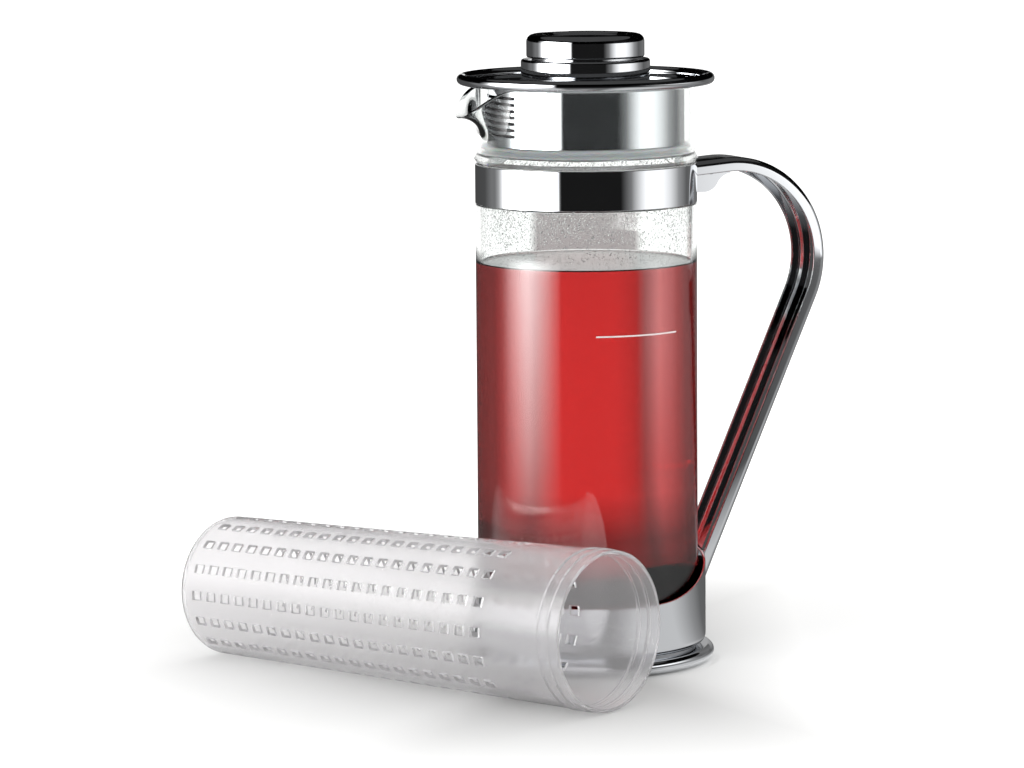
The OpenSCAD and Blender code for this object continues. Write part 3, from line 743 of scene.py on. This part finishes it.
# %% Skin of the infuser tube
TUBE_H = 229
MOUTH_R = 35
END_R = 31.5
RIDGE = 0.5
RIDGE_W = 1.2
RIDGE_Z = TUBE_H - 5.5
RIDGE_PITCH = 5.7
HOLE = 5
HOLE_PITCH = 8.9
HOLE_ROWS = 16
HOLE_START = 12.7
HOLE_COUNT = 20
STEPS_PER_ROW = 6
HOLE_STEPS = 2


def wall_radius(z):
    """Outer radius of the tube at a height, in millimetres."""
    return END_R + (MOUTH_R - END_R) * z / TUBE_H


tube_line = [(0, 0), (wall_radius(0), 0)]
for k in range(HOLE_COUNT):
    middle = HOLE_START + k * HOLE_PITCH
    tube_line += [(wall_radius(z), z) for z in (middle - HOLE / 2, middle + HOLE / 2)]
for z in (RIDGE_Z - RIDGE_PITCH, RIDGE_Z):
    radius = wall_radius(z)
    tube_line += [(radius, z - RIDGE_W), (radius + RIDGE, z - RIDGE_W / 2), (radius + RIDGE, z),
                  (radius, z + RIDGE_W / 2)]
tube_line.append((MOUTH_R, TUBE_H))
tube = open_line(tube_line)
column = math.radians(360 / HOLE_ROWS / STEPS_PER_ROW)
bmesh.ops.rotate(tube, verts=tube.verts[:], matrix=Matrix.Rotation(-column * HOLE_STEPS / 2, 3, "Z"))
spin_outline(tube, HOLE_ROWS * STEPS_PER_ROW)
print("skin of the tube:", len(tube.faces), "faces")

# %% Holes, rounded end and wall
TUBE_WALL = 1.6
END_ROUND = 6
hole_faces = []
for face in tube.faces:
    middle = face.calc_center_median()
    along = (middle.z / MM - HOLE_START) / HOLE_PITCH
    row = math.atan2(middle.y, middle.x) / column % STEPS_PER_ROW
    near_hole = abs(along - round(along)) * HOLE_PITCH < HOLE / 2
    in_column = min(row, STEPS_PER_ROW - row) < HOLE_STEPS / 2
    if near_hole and in_column and 0 <= round(along) < HOLE_COUNT:
        hole_faces.append(face)
print("holes:", HOLE_ROWS * HOLE_COUNT, "of", len(hole_faces) // (HOLE_ROWS * HOLE_COUNT), "faces each")
bmesh.ops.delete(tube, geom=hole_faces, context="FACES")
corner = [edge for edge in tube.edges
          if all(abs(p.co.z) < SLACK and abs(p.co.xy.length - wall_radius(0) * MM) < SLACK
                 for p in edge.verts)]
bmesh.ops.bevel(tube, geom=corner, offset=END_ROUND * MM, offset_type="OFFSET", segments=6, profile=0.5,
                affect="EDGES", material=-1)
bmesh.ops.solidify(tube, geom=tube.faces[:], thickness=TUBE_WALL * MM)

# %% Lay the tube down
TUBE_GAP = 2.5
TUBE_ALONG = 90.5
TUBE_TURN = math.radians(-64.7)
tube_side = FOOT_R + MOUTH_R + TUBE_GAP
rest_high = wall_radius(RIDGE_Z) + RIDGE
rest_low = wall_radius(END_ROUND)
tilt = math.atan((rest_high - rest_low) / (RIDGE_Z - END_ROUND))
lift = rest_low * math.cos(tilt) - END_ROUND * math.sin(tilt)
tube_end = Vector((TUBE_ALONG - TUBE_H * math.cos(tilt), -tube_side, lift)) * MM
lying = (Matrix.Rotation(TUBE_TURN, 4, "Z") @ Matrix.Translation(tube_end)
         @ Matrix.Rotation(math.pi / 2 - tilt, 4, "Y"))
bmesh.ops.transform(tube, matrix=lying, verts=tube.verts[:])
finish_piece(tube, "infuser_tube_frosted", FROSTED, "infuser", ["infuser_tube"])

# %% [markdown]
# ## Pieces that stay as they are
# The screws, the washer, the socket, the cushion and the rubber disc are simple and mostly hidden,
# so their CAD shapes stay and only get a finish.

# %% Finishes of the kept nodes
kept = {"foot_pad": RUBBER, "glass_cushion": SILICONE, "knob_washer": SILICONE, "clamp_screw": STEEL,
        "clamp_nut": STEEL, "knob_screw": STEEL, "infuser_socket": FROSTED}
for name, material in kept.items():
    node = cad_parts[name]
    node.data.materials.clear()
    node.data.materials.append(material)
print("kept nodes:", sorted(kept))

# %% [markdown]
# ## The studio: world, floor and lamps
# The floor is plain and pale, and the world is an even white. Only metal sees a dark ceiling, as in a
# studio whose lights stand at the sides. Away from the jug the floor glows a little where it is seen, so it
# melts into the backdrop and still keeps the shadows near the jug. At its right side this glow is stronger:
# painted light that washes out the shade there. Two large lamps give the shadows their direction. Distances
# in the studio are in metres.

# %% World
CEILING_FROM = 0.2
CEILING_FULL = 0.45
CEILING_LEVEL = 0.06


def soft_world():
    """Even white light, and a dark ceiling in reflections on metal."""
    world = bpy.data.worlds.new("studio")
    bpy.context.scene.world = world
    world.use_nodes = True
    tree = world.node_tree
    tree.nodes.clear()
    ray = add_node(tree, "TexCoord").outputs["Generated"]
    height = add_node(tree, "SeparateXYZ", {"Vector": ray}).outputs["Z"]
    ceiling = add_node(tree, "MapRange", {
        "Value": height, "From Min": CEILING_FROM, "From Max": CEILING_FULL, "To Min": 1,
        "To Max": CEILING_LEVEL}, interpolation_type="SMOOTHSTEP")
    path = add_node(tree, "LightPath").outputs
    on_metal = add_node(tree, "Math", {0: path["Is Glossy Ray"], 1: path["Is Singular Ray"]},
                        operation="SUBTRACT")
    mirrored = add_node(tree, "Math", {0: on_metal, 1: path["Is Reflection Ray"]},
                        operation="MULTIPLY", use_clamp=True)
    strength = add_node(tree, "Mix", {"Factor": mirrored, "A": 1, "B": ceiling})
    light = add_node(tree, "Background", {"Color": WHITE, "Strength": strength})
    add_node(tree, "OutputWorld", {"Surface": light})
    return world


print("world:", soft_world().name)

# %% Floor
FLOOR_HALF = 30
GLOW_FROM = 0.06
GLOW_FULL = 0.3
GLOW = 0.6
# Painted light at the right side of the floor, which washes out the shade there
SIDE_LIGHT_FROM = 0.02
SIDE_LIGHT_FULL = 0.1
SIDE_LIGHT_GLOW = 0.4
GLOSS = 0.5
GLOSS_FROM = 0.1
GLOSS_END = 0.3


def pale_floor():
    """A white laminate table: glossy near the jug, glowing away from it, and with painted light at its
    right side.
    """
    material, tree = new_material("pale_floor")
    path = add_node(tree, "LightPath").outputs
    seen = path["Is Camera Ray"]
    for kind in ("Is Transmission Ray", "Is Glossy Ray"):
        seen = add_node(tree, "Math", {0: seen, 1: path[kind]}, operation="MAXIMUM")
    where = add_node(tree, "TexCoord").outputs["Object"]
    away = add_node(tree, "VectorMath", {0: where}, operation="LENGTH").outputs["Value"]
    aside = add_node(tree, "VectorMath", {0: where, 1: right}, operation="DOT_PRODUCT").outputs["Value"]
    far_glow = add_node(tree, "MapRange", {"Value": away, "From Min": GLOW_FROM, "From Max": GLOW_FULL,
                                           "To Min": 0, "To Max": GLOW})
    # Painted light: the floor glows more towards its right side and washes out the shade that falls there
    painted_side_light = add_node(tree, "MapRange", {"Value": aside, "From Min": SIDE_LIGHT_FROM, "From Max": SIDE_LIGHT_FULL,
                                            "To Min": 0, "To Max": SIDE_LIGHT_GLOW})
    glow = add_node(tree, "Math", {0: far_glow, 1: painted_side_light}, operation="MAXIMUM")
    glow = add_node(tree, "Math", {0: seen, 1: glow}, operation="MULTIPLY")
    gloss = add_node(tree, "MapRange", {
        "Value": away, "From Min": GLOSS_FROM, "From Max": GLOSS_END, "To Min": GLOSS,
        "To Max": 0}, interpolation_type="SMOOTHSTEP")
    surface = add_node(tree, "BsdfPrincipled", {
        "Base Color": linear("D4D4D3"), "Roughness": 0.22, "Specular IOR Level": gloss,
        "Emission Color": WHITE, "Emission Strength": glow})
    return show(material, surface)


def stage_piece(mesh, name, material):
    """Turns a bmesh into a piece of the stage, which isn't part of the object."""
    data = bpy.data.meshes.new(name)
    mesh.to_mesh(data)
    mesh.free()
    data.materials.append(material)
    piece = bpy.data.objects.new(name, data)
    bpy.context.scene.collection.objects.link(piece)
    print(f"{name}: stage, {len(data.polygons)} faces")
    return piece


floor_mesh = bmesh.new()
bmesh.ops.create_grid(floor_mesh, x_segments=1, y_segments=1, size=FLOOR_HALF)
stage_piece(floor_mesh, "floor", pale_floor())

# %% Lamps
LAMP_AIM = Vector((0, 0, 0.12))


def soft_lamp(name, place, power, size):
    """A square area lamp that looks at the middle of the jug and doesn't show in reflections."""
    lamp = bpy.data.lights.new(name, "AREA")
    lamp.energy = power
    lamp.size = size
    holder = bpy.data.objects.new(name, lamp)
    holder.location = place
    holder.rotation_euler = (LAMP_AIM - holder.location).to_track_quat("-Z", "Y").to_euler()
    holder.visible_glossy = False
    holder.visible_transmission = False
    bpy.context.scene.collection.objects.link(holder)
    print(f"{name}: {power} W")


soft_lamp("lamp_right", right * 0.8 + ahead * 0.9 + Vector((0, 0, 1.1)), power=8, size=0.8)
soft_lamp("lamp_back", ahead * 1.2 + Vector((0, 0, 1.5)), power=5, size=1.2)

# %% [markdown]
# ## The studio: what chrome and glass reflect
# Chrome and glass show what stands round them, so a photographer sets up white panels at both sides
# and black cards in front and behind. One turned screen stands for all of them here: a disc on the
# floor and a round wall, whose brightness depends on the direction. A reflection sees its panels, and
# light that comes through the tea is shaded by it. The camera and all dull surfaces look past it, so
# it gives the object no light of its own and throws no shadow. It is stage.

# %% Brightness round the jug
# Stops are degrees round the jug from the camera, and brightness. First what the lower and the upper
# wall share at the left, then both of them, the floor, two panels, and the shades behind the tea
LEFT_SIDE = [(-180, 0.9), (-172, 0.8), (-164, 0.06), (-126, 0.08), (-112, 0.2), (-32, 0.1), (-27, 0.011),
             (34, 0.011)]
UPPER = LEFT_SIDE + [(38, 0.08), (45, 0.23), (56, 0.95), (62, 1.3), (80, 1.35), (93, 0.92), (107, 0.34),
                     (123, 0.12), (147, 0.18), (180, 0.1)]
LOWER = LEFT_SIDE + [(50, 0.04), (80, 0.25), (104, 0.3), (128, 0.2), (147, 0.12), (180, 0.5)]
FLOOR = [(-180, 0.5), (-165, 0.1), (-125, 0.14), (-104, 0.3), (-78, 0.62), (-30, 0.6), (-20, 0.15),
         (20, 0.15), (40, 0.6), (78, 0.62), (104, 0.31), (125, 0.14), (165, 0.1), (180, 0.5)]
LEFT_PANEL = [(-180, 0), (-106, 0), (-100, 0.012), (-95, 0.04), (-90, 0.13), (-79, 0.45), (-70, 0.76),
              (-62, 1), (-51, 0.71), (-43, 0.48), (-34, 0.2), (-29, 0.09), (-26.5, 0), (180, 0)]
RIGHT_PANEL = [(-180, 0), (50, 0), (62, 1.3), (75, 2.2), (89, 1.2), (104, 0.25), (119, 0.12), (147, 0),
               (180, 0)]
SHADES = [(-180, 0), (-175, 0), (-170.5, 0.24), (-167, 0.62), (-162, 0.26), (-145, 0.78), (-128, 0.9),
          (-100, 0.85), (-80, 0), (80, 0), (100, 0.85), (128, 0.86), (149, 0.78), (161, 0.34),
          (167, 0.55), (173, 0), (180, 0)]


def set_stops(node, stops):
    """Puts stops in degrees on a ramp node, which then covers one turn round the jug."""
    marks = node.color_ramp.elements
    marks.remove(marks[1])
    for i, (degrees, value) in enumerate(stops):
        spot = degrees / 360 + 0.5
        mark = marks[0] if i == 0 else marks.new(spot)
        mark.position = spot
        mark.color = (value, value, value, 1)
    return node


print("brightest direction on the right:", max(RIGHT_PANEL, key=lambda stop: stop[1])[0], "degrees")

# %% Places on the screen and kinds of rays
# Heights between which the lower wall turns into the upper one, and between which the neck ends
SPLIT_LOW, SPLIT_HIGH = 0.122, 0.13
NECK_LOW, NECK_HIGH = 0.228, 0.236
# Shares of a turn, from the camera's side, between which the front ends
FRONT_FROM, FRONT_END = 0.29, 0.32
# A ray that meets the neck goes through two or four faces of glass, one that meets the tea through six
NECK_PASSES = 4
TEA_PASSES = 6


def screen_facts(tree):
    """Where on the screen a ray lands, and what it has met on its way."""
    where = add_node(tree, "TexCoord").outputs["Object"]
    facing = add_node(tree, "Mapping", {"Vector": where, "Rotation": (0, 0, math.pi / 2 + VIEW_TURN)})
    angle = add_node(tree, "TexGradient", {"Vector": facing}, gradient_type="RADIAL").outputs["Fac"]
    reach = add_node(tree, "VectorMath", {0: where}, operation="LENGTH").outputs["Value"]
    height = add_node(tree, "SeparateXYZ", {"Vector": where}).outputs["Z"]
    high = add_node(tree, "MapRange", {"Value": height, "From Min": SPLIT_LOW, "From Max": SPLIT_HIGH})
    low = add_node(tree, "Math", {0: 1, 1: high}, operation="SUBTRACT")
    below_lid = add_node(tree, "MapRange", {"Value": height, "From Min": NECK_LOW, "From Max": NECK_HIGH,
                                            "To Min": 1, "To Max": 0})
    off = add_node(tree, "Math", {0: angle, 1: 0.5}, operation="SUBTRACT")
    off = add_node(tree, "Math", {0: off}, operation="ABSOLUTE")
    front = add_node(tree, "MapRange", {"Value": off, "From Min": FRONT_FROM, "From Max": FRONT_END,
                                        "To Min": 1, "To Max": 0})
    path = add_node(tree, "LightPath").outputs
    on_glass = path["Is Singular Ray"]
    inside = add_node(tree, "Math", {0: path["Glossy Depth"], 1: on_glass}, operation="MINIMUM")
    return SimpleNamespace(angle=angle, reach=reach, height=height, high=high, low=low, below_lid=below_lid,
                           front=front, on_glass=on_glass, inside=inside,
                           reflected=path["Is Reflection Ray"], passes=path["Transmission Depth"])


print("faces of glass before the screen:", NECK_PASSES // 2, NECK_PASSES, TEA_PASSES)

# %% Brightness of the screen in a mirror
SCREEN_R = 0.6
FLOOR_END = 0.3
SCREEN_LIT = 0.308
LIT_FADE = 0.003
UNLIT = 0.006
LEFT_STRENGTH = 20
LEFT_FOOT = 0.22 * LEFT_STRENGTH
LEFT_FULL = 0.14
LEFT_TOP = 0.45
LEFT_FADE = 0.1
RIGHT_LOW, RIGHT_HIGH = 0.01, 0.09
RIGHT_FOOT, RIGHT_HEAD = 0.65, 1.7


def wall_glow(tree, at):
    """The surroundings: floor, lower and upper wall, and the right panel that only glass shows."""
    rise = add_node(tree, "MapRange", {"Value": at.height, "From Min": RIGHT_LOW, "From Max": RIGHT_HIGH,
                                       "To Min": RIGHT_FOOT, "To Max": RIGHT_HEAD})
    rise = add_node(tree, "Math", {0: rise, 1: at.on_glass}, operation="MULTIPLY")
    panel, lower, upper, floor = (set_stops(add_node(tree, "ValToRGB", {"Fac": at.angle}), stops)
                                  for stops in (RIGHT_PANEL, LOWER, UPPER, FLOOR))
    lower = add_node(tree, "Math", {0: panel, 1: rise, 2: lower}, operation="MULTIPLY_ADD")
    wall = add_node(tree, "Mix", {"Factor": at.high, "A": lower, "B": upper})
    out = add_node(tree, "MapRange", {"Value": at.reach, "From Min": FLOOR_END, "From Max": SCREEN_R})
    lit = add_node(tree, "Mix", {"Factor": out, "A": floor, "B": wall})
    top = add_node(tree, "MapRange", {"Value": at.height, "From Min": SCREEN_LIT, "To Min": 1,
                                      "From Max": SCREEN_LIT + LIT_FADE, "To Max": UNLIT})
    return add_node(tree, "Math", {0: lit, 1: top}, operation="MULTIPLY")


def panel_glow(tree, at):
    """The tall left panel: brighter upwards, and kept off the glass of the neck."""
    rise = add_node(tree, "MapRange", {"Value": at.height, "From Min": 0, "From Max": LEFT_FULL,
                                       "To Min": LEFT_FOOT, "To Max": LEFT_STRENGTH})
    rise = add_node(tree, "MapRange", {"Value": at.height, "From Min": LEFT_TOP, "To Min": rise,
                                       "From Max": LEFT_TOP + LEFT_FADE, "To Max": 0})
    rise = add_node(tree, "MapRange", {"Value": at.reach, "From Min": FLOOR_END, "From Max": SCREEN_R,
                                       "To Min": 0, "To Max": rise})
    neck = add_node(tree, "Math", {0: at.passes, 1: NECK_PASSES - 1}, operation="LESS_THAN")
    for mask in (at.on_glass, at.high):
        neck = add_node(tree, "Math", {0: neck, 1: mask}, operation="MULTIPLY")
    rise = add_node(tree, "Mix", {"Factor": neck, "A": rise, "B": 0})
    panel = set_stops(add_node(tree, "ValToRGB", {"Fac": at.angle}), LEFT_PANEL)
    return add_node(tree, "Math", {0: panel, 1: rise}, operation="MULTIPLY")


print("left panel: up to", LEFT_STRENGTH, "times white")

# %% Which rays see the screen, and which it shades
SHADE_NEAR, SHADE_FAR = 0.34, 0.5
NEAR_COVER, FAR_COVER = 0.75, 0.08
TEA_DIM = 0.4


def mirror_mask(tree, at):
    """Reflections on metal and on the front of the glass, and second ones inside the neck."""
    half_way = add_node(tree, "Math", {0: at.passes, 1: NECK_PASSES / 2, 2: 0.5}, operation="COMPARE")
    half_way = add_node(tree, "Math", {0: half_way, 1: at.front}, operation="MULTIPLY")
    neck = add_node(tree, "Math", {0: at.passes, 1: NECK_PASSES, 2: 0.5}, operation="COMPARE")
    neck = add_node(tree, "Math", {0: neck, 1: half_way}, operation="MAXIMUM")
    for mask in (at.inside, at.high, at.below_lid):
        neck = add_node(tree, "Math", {0: neck, 1: mask}, operation="MULTIPLY")
    on_metal = add_node(tree, "Math", {0: 1, 1: at.on_glass}, operation="SUBTRACT")
    shown = add_node(tree, "Math", {0: at.front, 1: at.low}, operation="MAXIMUM")
    shown = add_node(tree, "Math", {0: shown, 1: at.below_lid}, operation="MULTIPLY")
    shown = add_node(tree, "Math", {0: shown, 1: on_metal}, operation="MAXIMUM")
    shown = add_node(tree, "Math", {0: shown, 1: at.reflected}, operation="MULTIPLY")
    return add_node(tree, "Math", {0: shown, 1: neck}, operation="MAXIMUM")


def shade_mask(tree, at):
    """Shades behind the tea, nearest the jug and by direction, and dim second reflections in it."""
    cover = add_node(tree, "MapRange", {"Value": at.reach, "From Min": SHADE_NEAR, "From Max": SHADE_FAR,
                                        "To Min": NEAR_COVER, "To Max": FAR_COVER})
    shade = set_stops(add_node(tree, "ValToRGB", {"Fac": at.angle}), SHADES)
    shade = add_node(tree, "MapRange", {"Value": shade, "To Min": cover, "To Max": 1})
    in_tea = add_node(tree, "Math", {0: at.passes, 1: TEA_PASSES - 0.5}, operation="GREATER_THAN")
    first = add_node(tree, "Math", {0: at.on_glass, 1: at.inside}, operation="SUBTRACT")
    for mask in (in_tea, first):
        shade = add_node(tree, "Math", {0: shade, 1: mask}, operation="MULTIPLY")
    dim = add_node(tree, "MapRange", {"Value": at.passes, "From Min": NECK_PASSES / 2,
                                      "From Max": TEA_PASSES, "To Min": 1, "To Max": TEA_DIM})
    for mask in (at.inside, at.low):
        dim = add_node(tree, "Math", {0: dim, 1: mask}, operation="MULTIPLY")
    return add_node(tree, "Math", {0: shade, 1: dim}, operation="MAXIMUM")


print("shades cover", NEAR_COVER, "near the jug and", FAR_COVER, "far from it")

# %% Screen
SCREEN_START = 0.06
SCREEN_LIFT = 0.0003
SCREEN_TOP = 0.75
SHADE_LEVEL = 0.02


def screen_finish():
    """Glows by direction in reflections, shades the light that comes through glass, else clear."""
    material, tree = new_material("screen")
    at = screen_facts(tree)
    glow = add_node(tree, "Math", {0: wall_glow(tree, at), 1: panel_glow(tree, at)}, operation="ADD")
    bright = add_node(tree, "Emission", {"Color": WHITE, "Strength": glow})
    dark = add_node(tree, "Emission", {"Color": WHITE, "Strength": SHADE_LEVEL})
    clear = add_node(tree, "BsdfTransparent")
    shade = add_node(tree, "MixShader", {0: shade_mask(tree, at), 1: clear, 2: dark})
    surface = add_node(tree, "MixShader", {0: mirror_mask(tree, at), 1: shade, 2: bright})
    return show(material, surface)


screen_line = [(SCREEN_START, SCREEN_LIFT), (SCREEN_R, SCREEN_LIFT), (SCREEN_R, SCREEN_TOP)]
screen_mesh = spin_outline(open_line([(x / MM, z / MM) for x, z in screen_line]), 180)
screen = stage_piece(screen_mesh, "screen", screen_finish())
screen.visible_camera = False
screen.visible_diffuse = False
screen.visible_shadow = False

# %% [markdown]
# ## The studio: a painted shade card behind the fogged glass
# The band of fogged glass above the tea shows a soft grey field from behind. It is painted shade: a glowing
# grey sheet at the back of the studio, which fades out at both sides and which only glass sees. Its sizes
# are in millimetres.

# %% Painted shade card behind the glass
CARD_W = 92
CARD_ASIDE = 9
CARD_EDGE = 8
CARD_LOW = 119
CARD_HIGH = 165
CARD_GAP = 20


def painted_shade_card():
    """A glowing grey sheet of painted shade that fades out at both sides."""
    material, tree = new_material("painted_shade_card")
    where = add_node(tree, "TexCoord").outputs["Object"]
    across = add_node(tree, "SeparateXYZ", {"Vector": where}).outputs["X"]
    aside = add_node(tree, "Math", {0: across}, operation="ABSOLUTE")
    edge = CARD_W / 2
    cover = add_node(tree, "MapRange", {"Value": aside, "From Min": (edge - CARD_EDGE) * MM,
                                        "From Max": edge * MM, "To Min": 1, "To Max": 0})
    clear = add_node(tree, "BsdfTransparent")
    # Painted shade: the sheet glows its own grey, and only glass sees it
    painted_grey = add_node(tree, "Emission", {"Color": linear("B6ADAE"), "Strength": 1})
    surface = add_node(tree, "MixShader", {0: cover, 1: clear, 2: painted_grey})
    return show(material, surface)


card_mesh = bmesh.new()
bmesh.ops.create_grid(card_mesh, x_segments=1, y_segments=1, size=0.5)
bmesh.ops.scale(card_mesh, verts=card_mesh.verts[:], vec=(CARD_W * MM, (CARD_HIGH - CARD_LOW) * MM, 1))
bmesh.ops.rotate(card_mesh, verts=card_mesh.verts[:], matrix=Matrix.Rotation(math.pi / 2, 3, "X"))
shade_card = stage_piece(card_mesh, "shade_card", painted_shade_card())
shade_card.location = (ahead * (SCREEN_R - CARD_GAP * MM) + right * CARD_ASIDE * MM
                 + Vector((0, 0, (CARD_LOW + CARD_HIGH) / 2 * MM)))
shade_card.rotation_euler.z = -VIEW_TURN
shade_card.visible_camera = False
shade_card.visible_diffuse = False
shade_card.visible_glossy = False
shade_card.visible_shadow = False

# %% [markdown]
# ## The view transform
# Colours are shown with the Standard view transform.

# %% View
bpy.context.scene.view_settings.view_transform = "Standard"
